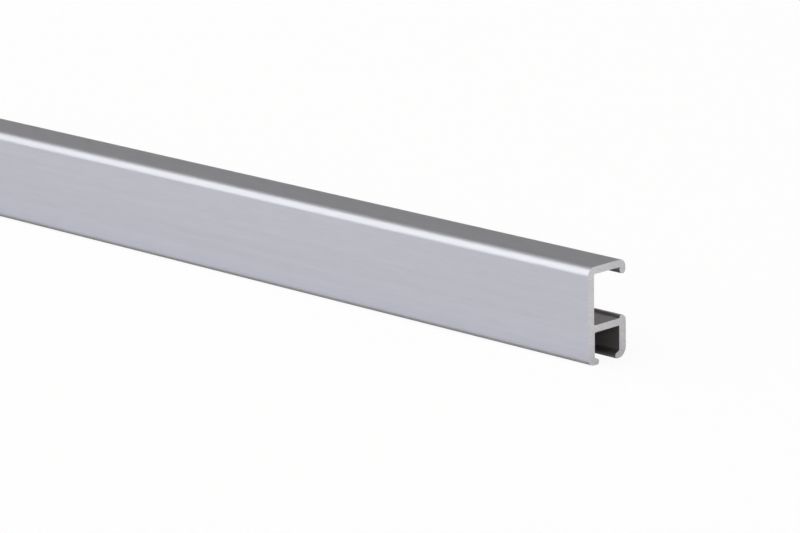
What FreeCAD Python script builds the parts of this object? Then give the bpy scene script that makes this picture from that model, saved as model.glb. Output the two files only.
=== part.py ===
import FreeCAD, Part
import math
import os

# Picture hanging rail: one length of extruded aluminium, in millimetres.
# X runs along the rail. The front face looks towards -Y and the wall is on the +Y side.
# +Z is up. The origin is under the middle of the rail, level with its lowest edge.

# Overall size
rail_length = 1000.0
rail_height = 20.0
rail_depth = 11.0

# Walls of the section. The front wall is a little thicker beside the hanger channel.
upper_front_wall = 1.75
lower_front_wall = 1.9
back_wall = 1.9
flange_thickness = 1.5
shelf_thickness = 1.45

# The shelf parts the clip channel above from the hanger channel below
shelf_top_height = 8.1

# Lip that turns down at the back of the top flange and hooks over the wall clips.
# It stands a little in from the back wall's face, which is what bears on the wall.
hook_lip_thickness = 1.65
hook_lip_reach = 1.45
hook_lip_setback = 0.1

# Low rim on the back edge of the shelf. The clips ride over its rounded outer side
# and snap behind its steep inner flank.
rim_height = 0.58
rim_crest_width = 0.1
rim_flank_run = 0.1

# Two lips that turn inwards under the hanger channel and leave its slot between them
slot_lip_reach = 1.2
slot_lip_root_thickness = 1.55
slot_lip_tip_thickness = 1.0

# Outer corner radii
front_top_radius = 1.8
front_bottom_radius = 1.75
back_top_radius = 1.65
back_bottom_radius = 2.1

# Radii of the rim, of the slot lips and of the inside corners
rim_outer_radius = 1.3
rim_inner_radius = 0.3
rim_foot_radius = 0.15
slot_lip_tip_radius = 0.5
slot_lip_root_radius = 0.3
inside_radius = 0.25

# Places in the section that follow from the sizes above
front_y = -rail_depth / 2.0
back_y = rail_depth / 2.0
upper_front_inner_y = front_y + upper_front_wall
lower_front_inner_y = front_y + lower_front_wall
back_inner_y = back_y - back_wall
hook_outer_y = back_y - hook_lip_setback
hook_inner_y = hook_outer_y - hook_lip_thickness
rim_inner_y = back_y - rim_outer_radius - rim_crest_width - rim_inner_radius
rim_foot_y = rim_inner_y - rim_flank_run
front_lip_tip_y = lower_front_inner_y + slot_lip_reach
back_lip_tip_y = back_inner_y - slot_lip_reach

flange_under_z = rail_height - flange_thickness
hook_tip_z = flange_under_z - hook_lip_reach
rim_top_z = shelf_top_height + rim_height
shelf_under_z = shelf_top_height - shelf_thickness

# The hook lip ends in a full round
hook_tip_radius = hook_lip_thickness / 2.0

# Two points closer than this are one point, so that no edge has zero length
same_point = 1e-6


def rounded_outline(corners):
    """Closed wire in the YZ plane, through corners given as (y, z, radius)."""
    arcs = []
    for index, (y, z, radius) in enumerate(corners):
        before = corners[index - 1]
        after = corners[(index + 1) % len(corners)]
        corner = FreeCAD.Vector(0.0, y, z)
        to_before = (FreeCAD.Vector(0.0, before[0], before[1]) - corner).normalize()
        to_after = (FreeCAD.Vector(0.0, after[0], after[1]) - corner).normalize()
        half_angle = to_before.getAngle(to_after) / 2.0
        setback = radius / math.tan(half_angle)
        to_centre = (to_before + to_after).normalize()
        middle = corner + to_centre * (radius / math.sin(half_angle) - radius)
        arcs.append((corner + to_before * setback, middle, corner + to_after * setback))

    edges = []
    for index, (start, middle, end) in enumerate(arcs):
        edges.append(Part.Arc(start, middle, end).toShape())
        next_start = arcs[(index + 1) % len(arcs)][0]
        if end.distanceToPoint(next_start) > same_point:
            edges.append(Part.LineSegment(end, next_start).toShape())
    return Part.Wire(edges)


def rail_profile():
    """The whole rail: its section, drawn once round the metal and extruded along X."""
    outside = [
        (front_y, 0.0, front_bottom_radius),
        (front_y, rail_height, front_top_radius),
        (hook_outer_y, rail_height, back_top_radius),
    ]
    clip_channel = [
        (hook_outer_y, hook_tip_z, hook_tip_radius),
        (hook_inner_y, hook_tip_z, hook_tip_radius),
        (hook_inner_y, flange_under_z, inside_radius),
        (upper_front_inner_y, flange_under_z, inside_radius),
        (upper_front_inner_y, shelf_top_height, inside_radius),
        (rim_foot_y, shelf_top_height, rim_foot_radius),
        (rim_inner_y, rim_top_z, rim_inner_radius),
        (back_y, rim_top_z, rim_outer_radius),
    ]
    hanger_channel = [
        (back_y, 0.0, back_bottom_radius),
        (back_lip_tip_y, 0.0, slot_lip_tip_radius),
        (back_lip_tip_y, slot_lip_tip_thickness, slot_lip_tip_radius),
        (back_inner_y, slot_lip_root_thickness, slot_lip_root_radius),
        (back_inner_y, shelf_under_z, inside_radius),
        (lower_front_inner_y, shelf_under_z, inside_radius),
        (lower_front_inner_y, slot_lip_root_thickness, slot_lip_root_radius),
        (front_lip_tip_y, slot_lip_tip_thickness, slot_lip_tip_radius),
        (front_lip_tip_y, 0.0, slot_lip_tip_radius),
    ]
    section = Part.Face(rounded_outline(outside + clip_channel + hanger_channel))
    rail = section.extrude(FreeCAD.Vector(rail_length, 0.0, 0.0))
    rail.translate(FreeCAD.Vector(-rail_length / 2.0, 0.0, 0.0))
    return rail


os.makedirs("parts", exist_ok=True)
rail_profile().exportStep("parts/rail_profile.step")
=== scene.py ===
import math

import bpy
from mathutils import Matrix, Vector


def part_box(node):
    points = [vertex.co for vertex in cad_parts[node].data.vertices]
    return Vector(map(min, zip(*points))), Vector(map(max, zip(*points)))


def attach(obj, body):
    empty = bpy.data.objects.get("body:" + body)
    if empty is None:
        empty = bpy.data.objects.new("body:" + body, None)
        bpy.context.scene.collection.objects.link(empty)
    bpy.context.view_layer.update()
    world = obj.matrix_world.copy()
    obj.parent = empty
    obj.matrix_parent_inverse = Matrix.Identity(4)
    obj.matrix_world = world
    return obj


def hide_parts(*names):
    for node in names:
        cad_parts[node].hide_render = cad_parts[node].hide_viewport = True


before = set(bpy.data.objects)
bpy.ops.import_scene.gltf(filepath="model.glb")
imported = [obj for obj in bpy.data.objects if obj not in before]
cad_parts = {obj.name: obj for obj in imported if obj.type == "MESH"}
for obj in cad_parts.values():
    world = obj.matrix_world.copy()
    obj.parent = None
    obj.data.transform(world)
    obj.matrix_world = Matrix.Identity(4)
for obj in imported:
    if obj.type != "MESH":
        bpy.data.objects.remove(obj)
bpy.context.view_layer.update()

# Rail section, in metres. Y is depth, with the front face at low Y. Z is height.
MM = 0.001
UPPER_FRONT_WALL = 1.75 * MM
LOWER_FRONT_WALL = 1.9 * MM
BACK_WALL = 1.9 * MM
FLANGE_THICKNESS = 1.5 * MM
SHELF_THICKNESS = 1.45 * MM
SHELF_TOP = 8.1 * MM
HOOK_LIP_THICKNESS = 1.65 * MM
HOOK_LIP_REACH = 1.45 * MM
HOOK_LIP_SETBACK = 0.1 * MM
RIM_HEIGHT = 0.58 * MM
RIM_CREST_WIDTH = 0.1 * MM
RIM_FLANK_RUN = 0.1 * MM
SLOT_LIP_REACH = 1.2 * MM
SLOT_LIP_ROOT = 1.55 * MM
SLOT_LIP_TIP = 1.0 * MM

FRONT_TOP_RADIUS = 1.8 * MM
FRONT_BOTTOM_RADIUS = 1.75 * MM
BACK_TOP_RADIUS = 1.65 * MM
BACK_BOTTOM_RADIUS = 2.1 * MM
RIM_OUTER_RADIUS = 1.3 * MM
RIM_INNER_RADIUS = 0.3 * MM
RIM_FOOT_RADIUS = 0.15 * MM
SLOT_LIP_TIP_RADIUS = 0.5 * MM
SLOT_LIP_ROOT_RADIUS = 0.3 * MM
INSIDE_RADIUS = 0.25 * MM

# How finely the rail's mesh is cut, round its corners and along its length
ARC_STEP = math.radians(5.0)
FEWEST_ARC_STEPS = 2
LENGTH_STEPS = 40

# Two points of the section closer than this are one point
SAME_POINT = 1e-7

# The mesh's material slots, in order
FINISHES = ("brushed", "hook_shade", "inner_shade", "recess", "sawn")

# A face whose normal points further down than this takes the inner finish, whose darker colour is
# painted shade under the rail
UNDERSIDE = -0.4

# Camera of the photograph, with its picture in pixels. The near end's pixel is where the
# middle of that end's front edge lies.
IMAGE_WIDTH = 800.0
IMAGE_HEIGHT = 533.0
IMAGE_CENTRE = Vector((IMAGE_WIDTH / 2.0, IMAGE_HEIGHT / 2.0))
NEAR_END_PIXEL = Vector((588.1, 318.2))
FOCAL_PIXELS = 4098.6
SENSOR_WIDTH_MM = 36.0
CAMERA_DISTANCE = 0.8004
CAMERA_AZIMUTH = math.radians(44.82)
CAMERA_PITCH = math.radians(14.87)
CAMERA_ROLL = math.radians(-0.95)

# Colours of the metal, as linear red, green and blue
BRUSHED_DARK = (0.506, 0.511, 0.578)
BRUSHED_LIGHT = (0.549, 0.554, 0.625)
# The hook lip's inside: the same metal, darker as painted shade
HOOK_SHADE_DARK = (0.428, 0.42, 0.425)
HOOK_SHADE_LIGHT = (0.47, 0.461, 0.467)
# The shelf, rim, flange underside and downward faces: darker again, as painted shade
INNER_SHADE_DARK = (0.384, 0.37, 0.38)
INNER_SHADE_LIGHT = (0.435, 0.421, 0.431)
# The hanger channel: darkest, as painted shade
RECESS_DARK = (0.255, 0.242, 0.238)
RECESS_LIGHT = (0.295, 0.28, 0.276)
SAWN_DARK = (0.57, 0.56, 0.587)
SAWN_LIGHT = (0.757, 0.746, 0.78)

# What a sawn end's colour is multiplied by at the front and at the back of the rail: painted shading,
# lighter at the front and darker towards the back
SAWN_FRONT_SHARE = 1.06
SAWN_BACK_SHARE = 0.92

# Roughness of the metal, from its smoothest to its roughest. Dashes add to it or take away.
BRUSHED_ROUGHNESS = (0.33, 0.39)
HOOK_ROUGHNESS = (0.36, 0.44)
INNER_ROUGHNESS = (0.46, 0.52)
RECESS_ROUGHNESS = (0.52, 0.58)
SAWN_ROUGHNESS = (0.42, 0.52)
DASH_ROUGHNESS = 0.03

# What the light that lined metal mirrors is multiplied by at a glancing angle
GLANCING_TINT = (0.7, 0.7, 0.7)

# Marks in the metal, each a noise with its features a metre along X, Y and Z
LINES = (12.0, 4200.0, 4200.0)
DASHES = (260.0, 6200.0, 6200.0)
SCRATCHES = (160.0, 2800.0, 2800.0)
STREAKS = (7.0, 700.0, 700.0)
SAW_MARKS = (1.0, 260.0, 3400.0)
MOTTLE = (2600.0, 2600.0, 2600.0)
SAW_MARK_SLOPE = math.radians(25.0)

# Octaves of a soft noise and of a fine one
SOFT_DETAIL = 2.0
FINE_DETAIL = 3.0

# A noise is nearly always between these two values
NOISE_LOW = 0.3
NOISE_HIGH = 0.7

# Shares of the marks in a colour
SCRATCH_SHARE = 0.5
STREAK_SHARE = 0.5
SAW_MARK_SHARE = 0.4
MOTTLE_SHARE = 0.6

# Relief of the marks, with the lines' depth as a share of the dashes' depth
LINE_DEPTH_SHARE = 0.25
LINED_RELIEF_STRENGTH = 0.35
LINED_RELIEF_DEPTH = 0.05 * MM
SAWN_RELIEF_STRENGTH = 0.4
SAWN_RELIEF_DEPTH = 0.01 * MM

# White surroundings. The floor's white shares are how much of it is plain white to the
# camera, and in what the metal mirrors of it.
WHITE = (1.0, 1.0, 1.0, 1.0)
WORLD_STRENGTH = 1.15
FLOOR_SIZE = 60.0
FLOOR_COLOUR = (0.92, 0.92, 0.92)
FLOOR_WHITE_DIRECT = 0.92
FLOOR_WHITE_IN_METAL = 0.1

# The lamp and the grey flag, which lie along the rail, in metres. Their angles go round its
# axis, from the floor in front of it at 0 to the floor behind it at 180 degrees.
AXIS_HEIGHT = 0.01
KEY_ANGLE = math.radians(42.6)
KEY_DISTANCE = 2.55
KEY_SHIFT = -2.7
KEY_LENGTH = 5.0
KEY_HEIGHT = 4.5
KEY_WATTS = 51.0
KEY_COLOUR = (1.0, 1.0, 0.885)
FLAG_ANGLE = math.radians(134.0)
FLAG_DISTANCE = 2.18
FLAG_LENGTH = 9.0
FLAG_HEIGHT = 4.51
FLAG_COLOUR = (0.49, 0.485, 0.469)

BOX_LOW, BOX_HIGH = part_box("rail_profile")


def section_corners():
    """The section's corners as (y, z, radius, finish), once round the metal.

    A finish covers its corner and the flat that leads to it.
    """
    front = BOX_LOW.y
    back = BOX_HIGH.y
    bottom = BOX_LOW.z
    top = BOX_HIGH.z
    upper_front_inner = front + UPPER_FRONT_WALL
    lower_front_inner = front + LOWER_FRONT_WALL
    back_inner = back - BACK_WALL
    flange_under = top - FLANGE_THICKNESS
    hook_outer = back - HOOK_LIP_SETBACK
    hook_inner = hook_outer - HOOK_LIP_THICKNESS
    hook_tip = flange_under - HOOK_LIP_REACH
    hook_tip_radius = HOOK_LIP_THICKNESS / 2.0
    shelf_top = bottom + SHELF_TOP
    shelf_under = shelf_top - SHELF_THICKNESS
    rim_top = shelf_top + RIM_HEIGHT
    rim_inner = back - RIM_OUTER_RADIUS - RIM_CREST_WIDTH - RIM_INNER_RADIUS
    rim_foot = rim_inner - RIM_FLANK_RUN
    lip_root = bottom + SLOT_LIP_ROOT
    lip_tip = bottom + SLOT_LIP_TIP
    front_tip = lower_front_inner + SLOT_LIP_REACH
    back_tip = back_inner - SLOT_LIP_REACH
    front_and_top = [
        (front, bottom, FRONT_BOTTOM_RADIUS),
        (front, top, FRONT_TOP_RADIUS),
        (hook_outer, top, BACK_TOP_RADIUS),
        (hook_outer, hook_tip, hook_tip_radius),
    ]
    hook_inside = [
        (hook_inner, hook_tip, hook_tip_radius),
        (hook_inner, flange_under, INSIDE_RADIUS),
    ]
    under_flange = [(upper_front_inner, flange_under, INSIDE_RADIUS)]
    upper_front_wall = [(upper_front_inner, shelf_top, INSIDE_RADIUS)]
    shelf_and_rim = [
        (rim_foot, shelf_top, RIM_FOOT_RADIUS),
        (rim_inner, rim_top, RIM_INNER_RADIUS),
        (back, rim_top, RIM_OUTER_RADIUS),
    ]
    back_wall = [(back, bottom, BACK_BOTTOM_RADIUS)]
    hanger_channel = [
        (back_tip, bottom, SLOT_LIP_TIP_RADIUS),
        (back_tip, lip_tip, SLOT_LIP_TIP_RADIUS),
        (back_inner, lip_root, SLOT_LIP_ROOT_RADIUS),
        (back_inner, shelf_under, INSIDE_RADIUS),
        (lower_front_inner, shelf_under, INSIDE_RADIUS),
        (lower_front_inner, lip_root, SLOT_LIP_ROOT_RADIUS),
        (front_tip, lip_tip, SLOT_LIP_TIP_RADIUS),
        (front_tip, bottom, SLOT_LIP_TIP_RADIUS),
    ]
    # The hook's inside, the inner faces and the hanger channel get darker colours, painted shade where
    # less light reaches
    stretches = [
        (front_and_top, "brushed"),
        (hook_inside, "hook_shade"),
        (under_flange, "inner_shade"),
        (upper_front_wall, "brushed"),
        (shelf_and_rim, "inner_shade"),
        (back_wall, "brushed"),
        (hanger_channel, "recess"),
    ]
    return [(*corner, finish) for corners, finish in stretches for corner in corners]


def section_outline():
    """Points, outward normals and finishes of the section, rounded at its corners.

    The points and normals are pairs of the rail's Y and Z, as the x and y of a vector.
    """
    corners = section_corners()
    points = []
    normals = []
    finishes = []
    for index, (y, z, radius, finish) in enumerate(corners):
        corner = Vector((y, z))
        before = Vector(corners[index - 1][:2])
        after = Vector(corners[(index + 1) % len(corners)][:2])
        to_before = (before - corner).normalized()
        to_after = (after - corner).normalized()
        half_angle = to_before.angle(to_after) / 2.0
        to_centre = (to_before + to_after).normalized()
        centre = corner + to_centre * (radius / math.sin(half_angle))
        start = (corner + to_before * (radius / math.tan(half_angle)) - centre) / radius
        # The outline runs clockwise seen from +X, so a left turn is an inside corner
        inside = to_before.x * to_after.y - to_before.y * to_after.x < 0.0
        turn = math.pi - 2.0 * half_angle
        steps = max(FEWEST_ARC_STEPS, math.ceil(turn / ARC_STEP))
        spin = turn / steps if inside else -turn / steps
        for step in range(steps + 1):
            cosine = math.cos(spin * step)
            sine = math.sin(spin * step)
            spoke = Vector((start.x * cosine - start.y * sine, start.x * sine + start.y * cosine))
            point = centre + spoke * radius
            if points and (point - points[-1]).length < SAME_POINT:
                continue
            normal = -spoke if inside else spoke
            # Faces that look down, outside the hanger channel, take the inner finish: painted shade
            # under the rail
            looks_down = normal.y < UNDERSIDE and finish != "recess"
            points.append(point)
            normals.append(normal)
            finishes.append("inner_shade" if looks_down else finish)
    return points, normals, finishes


def rail_mesh():
    """The rail as one closed mesh, whose faces know their finish by FINISHES."""
    points, normals, finishes = section_outline()
    count = len(points)
    length = BOX_HIGH.x - BOX_LOW.x
    vertices = [
        (BOX_LOW.x + length * step / LENGTH_STEPS, point.x, point.y)
        for step in range(LENGTH_STEPS + 1)
        for point in points
    ]

    faces = []
    face_slots = []
    corner_normals = []
    for step in range(LENGTH_STEPS):
        ring = step * count
        next_ring = ring + count
        for index in range(count):
            following = (index + 1) % count
            faces.append((ring + index, next_ring + index, next_ring + following, ring + following))
            face_slots.append(FINISHES.index(finishes[following]))
            for corner in (index, index, following, following):
                corner_normals.append((0.0, *normals[corner]))
    last_ring = LENGTH_STEPS * count
    faces.append(tuple(range(count)))
    faces.append(tuple(reversed(range(last_ring, last_ring + count))))
    face_slots += [FINISHES.index("sawn")] * 2
    corner_normals += [(-1.0, 0.0, 0.0)] * count
    corner_normals += [(1.0, 0.0, 0.0)] * count

    mesh = bpy.data.meshes.new("rail_surface")
    mesh.from_pydata(vertices, [], faces)
    mesh.polygons.foreach_set("material_index", face_slots)
    mesh.shade_smooth()
    mesh.normals_split_custom_set(corner_normals)
    mesh.update()
    return mesh


class Nodes:
    """Short calls for the node tree of one material or of the world."""

    def __init__(self, tree):
        self.tree = tree
        tree.nodes.clear()

    def add(self, kind, inputs=None, **settings):
        """A new node. Its inputs take a socket to link to or a value."""
        node = self.tree.nodes.new(kind)
        for name, value in settings.items():
            setattr(node, name, value)
        for name, value in (inputs or {}).items():
            if isinstance(value, bpy.types.NodeSocket):
                self.tree.links.new(value, node.inputs[name])
            else:
                node.inputs[name].default_value = value
        return node

    def maths(self, operation, a, b):
        return self.add("ShaderNodeMath", {0: a, 1: b}, operation=operation).outputs[0]

    def weighted_sum(self, a, a_share, b, b_share):
        """The sum of two values, each times its share."""
        a_part = self.maths("MULTIPLY", a, a_share)
        b_part = self.maths("MULTIPLY", b, b_share)
        return self.maths("ADD", a_part, b_part)

    def place(self):
        """Where a point is on the object, in metres."""
        return self.add("ShaderNodeTexCoord").outputs["Object"]

    def noise(self, place, features_per_metre, detail):
        """Noise with its own number of features a metre along X, Y and Z."""
        mapping = self.add("ShaderNodeMapping", {"Vector": place, "Scale": features_per_metre})
        texture = self.add(
            "ShaderNodeTexNoise",
            {"Vector": mapping.outputs["Vector"], "Scale": 1.0, "Detail": detail},
        )
        return texture.outputs["Fac"]

    def spread(self, value, low, high):
        """A noise value, brought from its usual range to the range low to high."""
        ranged = self.add(
            "ShaderNodeMapRange",
            {
                "Value": value,
                "From Min": NOISE_LOW,
                "From Max": NOISE_HIGH,
                "To Min": low,
                "To Max": high,
            },
        )
        return ranged.outputs["Result"]

    def blend(self, share, dark, light):
        """A colour between dark, at a share of 0, and light, at 1."""
        ramp = self.add("ShaderNodeValToRGB", {"Fac": share})
        ramp.color_ramp.elements[0].color = (*dark, 1.0)
        ramp.color_ramp.elements[1].color = (*light, 1.0)
        return ramp.outputs["Color"]


def new_material(name):
    material = bpy.data.materials.new(name)
    material.use_nodes = True
    return material, Nodes(material.node_tree)


def lined_metal(name, dark, light, roughness_range):
    """Metal with fine lines, short dashes, scratches and faint streaks along the rail."""
    material, nodes = new_material(name)
    place = nodes.place()
    lines = nodes.noise(place, LINES, SOFT_DETAIL)
    scratches = nodes.noise(place, SCRATCHES, SOFT_DETAIL)
    streaks = nodes.noise(place, STREAKS, SOFT_DETAIL)
    dashes = nodes.noise(place, DASHES, FINE_DETAIL)
    shade = nodes.weighted_sum(scratches, SCRATCH_SHARE, streaks, STREAK_SHARE)
    tone = nodes.blend(nodes.spread(shade, 0.0, 1.0), dark, light)
    line_roughness = nodes.spread(lines, *roughness_range)
    dash_roughness = nodes.spread(dashes, -DASH_ROUGHNESS, DASH_ROUGHNESS)
    relief = nodes.maths("ADD", nodes.maths("MULTIPLY", lines, LINE_DEPTH_SHARE), dashes)
    bump = nodes.add(
        "ShaderNodeBump",
        {"Height": relief, "Strength": LINED_RELIEF_STRENGTH, "Distance": LINED_RELIEF_DEPTH},
    )
    surface = nodes.add(
        "ShaderNodeBsdfPrincipled",
        {
            "Base Color": tone,
            "Metallic": 1.0,
            "Specular Tint": (*GLANCING_TINT, 1.0),
            "Roughness": nodes.maths("ADD", line_roughness, dash_roughness),
            "Normal": bump.outputs["Normal"],
        },
    )
    nodes.add("ShaderNodeOutputMaterial", {"Surface": surface.outputs["BSDF"]})
    return material


def brushed_material():
    """The outside of the rail, brushed along it and then anodised."""
    return lined_metal("brushed_anodised_aluminium", BRUSHED_DARK, BRUSHED_LIGHT, BRUSHED_ROUGHNESS)


def hook_shade_material():
    """The inside of the hook lip: the outside's metal, a little rougher, in a darker colour that is
    painted shade.
    """
    return lined_metal("hook_shade_aluminium", HOOK_SHADE_DARK, HOOK_SHADE_LIGHT, HOOK_ROUGHNESS)


def inner_shade_material():
    """The shelf, its rim, the flange's underside and the faces that look down: rougher, in a darker
    colour that is painted shade.
    """
    return lined_metal("inner_shade_aluminium", INNER_SHADE_DARK, INNER_SHADE_LIGHT, INNER_ROUGHNESS)


def recess_material():
    """The narrow hanger channel: the roughest finish, in the darkest colour, which is painted shade.
    """
    return lined_metal("recess_shade_aluminium", RECESS_DARK, RECESS_LIGHT, RECESS_ROUGHNESS)


def sawn_material():
    """Bare aluminium of a sawn end, with faint slanting marks, and painted shade that darkens it
    towards the back.
    """
    material, nodes = new_material("sawn_aluminium")
    place = nodes.place()
    slanted = nodes.add("ShaderNodeMapping", {"Vector": place, "Rotation": (SAW_MARK_SLOPE, 0.0, 0.0)})
    marks = nodes.noise(slanted.outputs["Vector"], SAW_MARKS, FINE_DETAIL)
    mottle = nodes.noise(place, MOTTLE, FINE_DETAIL)
    shade = nodes.weighted_sum(marks, SAW_MARK_SHARE, mottle, MOTTLE_SHARE)
    tone = nodes.blend(nodes.spread(shade, 0.0, 1.0), SAWN_DARK, SAWN_LIGHT)
    depth = nodes.add("ShaderNodeSeparateXYZ", {"Vector": place}).outputs["Y"]
    # Painted shade: the end's colour goes from lighter at the front to darker at the back
    front_to_back = nodes.add(
        "ShaderNodeMapRange",
        {
            "Value": depth,
            "From Min": BOX_LOW.y,
            "From Max": BOX_HIGH.y,
            "To Min": SAWN_FRONT_SHARE,
            "To Max": SAWN_BACK_SHARE,
        },
    )
    painted_shade_behind = nodes.add(
        "ShaderNodeVectorMath",
        {"Vector": tone, "Scale": front_to_back.outputs["Result"]},
        operation="SCALE",
    )
    bump = nodes.add(
        "ShaderNodeBump",
        {"Height": marks, "Strength": SAWN_RELIEF_STRENGTH, "Distance": SAWN_RELIEF_DEPTH},
    )
    surface = nodes.add(
        "ShaderNodeBsdfPrincipled",
        {
            "Base Color": painted_shade_behind.outputs["Vector"],
            "Metallic": 1.0,
            "Roughness": nodes.spread(mottle, *SAWN_ROUGHNESS),
            "Normal": bump.outputs["Normal"],
        },
    )
    nodes.add("ShaderNodeOutputMaterial", {"Surface": surface.outputs["BSDF"]})
    return material


def matt_material(name, colour):
    material, nodes = new_material(name)
    surface = nodes.add("ShaderNodeBsdfDiffuse", {"Color": (*colour, 1.0)})
    nodes.add("ShaderNodeOutputMaterial", {"Surface": surface.outputs["BSDF"]})
    return material


def white_share(nodes, seen_by_camera, seen_in_metal):
    """How much plain white the camera sees, and how much the object mirrors or lets through."""
    ray = nodes.add("ShaderNodeLightPath").outputs
    by_object = nodes.maths("MAXIMUM", ray["Is Glossy Ray"], ray["Is Transmission Ray"])
    in_metal = nodes.maths("MULTIPLY", by_object, seen_in_metal)
    direct = nodes.maths("MULTIPLY", ray["Is Camera Ray"], seen_by_camera)
    return nodes.maths("MAXIMUM", direct, in_metal)


def floor_material():
    """White floor that keeps the object's shadow, paler than the lamps alone would make it."""
    material, nodes = new_material("floor_paint")
    paint = nodes.add("ShaderNodeBsdfDiffuse", {"Color": (*FLOOR_COLOUR, 1.0)})
    white = nodes.add("ShaderNodeEmission", {"Color": WHITE, "Strength": 1.0})
    share = white_share(nodes, FLOOR_WHITE_DIRECT, FLOOR_WHITE_IN_METAL)
    surface = nodes.add(
        "ShaderNodeMixShader", {0: share, 1: paint.outputs["BSDF"], 2: white.outputs["Emission"]}
    )
    nodes.add("ShaderNodeOutputMaterial", {"Surface": surface.outputs["Shader"]})
    return material


def add_object(name, data):
    made = bpy.data.objects.new(name, data)
    bpy.context.scene.collection.objects.link(made)
    return made


def make_rail():
    """The rail, with its materials in the order of FINISHES."""
    mesh = rail_mesh()
    makers = (brushed_material, hook_shade_material, inner_shade_material, recess_material, sawn_material)
    for make_material in makers:
        mesh.materials.append(make_material())
    rail = add_object("rail_surface", mesh)
    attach(rail, "root")
    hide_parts("rail_profile")


def card(name, length, width, material):
    """A flat rectangle that faces up, with its length along X."""
    mesh = bpy.data.meshes.new(name)
    x = length / 2.0
    y = width / 2.0
    mesh.from_pydata([(-x, -y, 0.0), (x, -y, 0.0), (x, y, 0.0), (-x, y, 0.0)], [], [(0, 1, 2, 3)])
    mesh.materials.append(material)
    made = add_object(name, mesh)
    return made


def stand_along_rail(made, angle, distance, front):
    """Set a lamp or card beside the rail, so that the side front, "Z" or "-Z", looks at its axis."""
    outward = Vector((0.0, -math.cos(angle), math.sin(angle)))
    made.location = Vector((0.0, 0.0, AXIS_HEIGHT)) + outward * distance
    made.rotation_euler = (-outward).to_track_quat(front, "Y").to_euler()
    made.visible_camera = False


def make_stage():
    """The floor, and a grey flag behind the rail that darkens what its top mirrors."""
    floor = card("floor", FLOOR_SIZE, FLOOR_SIZE, floor_material())
    floor.location.z = BOX_LOW.z
    flag = card("flag", FLAG_LENGTH, FLAG_HEIGHT, matt_material("flag_cloth", FLAG_COLOUR))
    stand_along_rail(flag, FLAG_ANGLE, FLAG_DISTANCE, "Z")


def make_world():
    """Even light from all round, which the camera and the metal see as plain white."""
    world = bpy.data.worlds.new("studio")
    world.use_nodes = True
    nodes = Nodes(world.node_tree)
    light = nodes.add("ShaderNodeBackground", {"Color": WHITE, "Strength": WORLD_STRENGTH})
    white = nodes.add("ShaderNodeBackground", {"Color": WHITE, "Strength": 1.0})
    seen = nodes.add(
        "ShaderNodeMixShader",
        {
            0: white_share(nodes, 1.0, 1.0),
            1: light.outputs["Background"],
            2: white.outputs["Background"],
        },
    )
    nodes.add("ShaderNodeOutputWorld", {"Surface": seen.outputs["Shader"]})
    bpy.context.scene.world = world


def make_key_light():
    """A large soft box in front of the rail and along it, beside its far end."""
    lamp = bpy.data.lights.new("key_light", "AREA")
    lamp.shape = "RECTANGLE"
    lamp.size = KEY_LENGTH
    lamp.size_y = KEY_HEIGHT
    lamp.energy = KEY_WATTS
    lamp.color = KEY_COLOUR
    key_light = add_object("key_light", lamp)
    stand_along_rail(key_light, KEY_ANGLE, KEY_DISTANCE, "-Z")
    key_light.location.x = KEY_SHIFT


def make_camera():
    """The photograph's camera, set by where the near end's front edge lies in the picture."""
    near_end = Vector((BOX_HIGH.x, BOX_LOW.y, (BOX_LOW.z + BOX_HIGH.z) / 2.0))
    forward = Vector((
        -math.cos(CAMERA_AZIMUTH) * math.cos(CAMERA_PITCH),
        math.sin(CAMERA_AZIMUTH) * math.cos(CAMERA_PITCH),
        -math.sin(CAMERA_PITCH),
    ))
    level_right = forward.cross(Vector((0.0, 0.0, 1.0))).normalized()
    level_up = level_right.cross(forward)
    right = level_right * math.cos(CAMERA_ROLL) + level_up * math.sin(CAMERA_ROLL)
    up = level_up * math.cos(CAMERA_ROLL) - level_right * math.sin(CAMERA_ROLL)
    offset = (NEAR_END_PIXEL - IMAGE_CENTRE) * (CAMERA_DISTANCE / FOCAL_PIXELS)
    lens = bpy.data.cameras.new("camera")
    lens.sensor_width = SENSOR_WIDTH_MM
    lens.lens = FOCAL_PIXELS / IMAGE_WIDTH * SENSOR_WIDTH_MM
    camera = add_object("camera", lens)
    camera.location = near_end - forward * CAMERA_DISTANCE - right * offset.x + up * offset.y
    camera.rotation_euler = Matrix((right, up, -forward)).transposed().to_euler()
    bpy.context.scene.camera = camera


make_rail()
make_stage()
make_world()
make_key_light()
make_camera()
bpy.context.scene.view_settings.view_transform = "Standard"
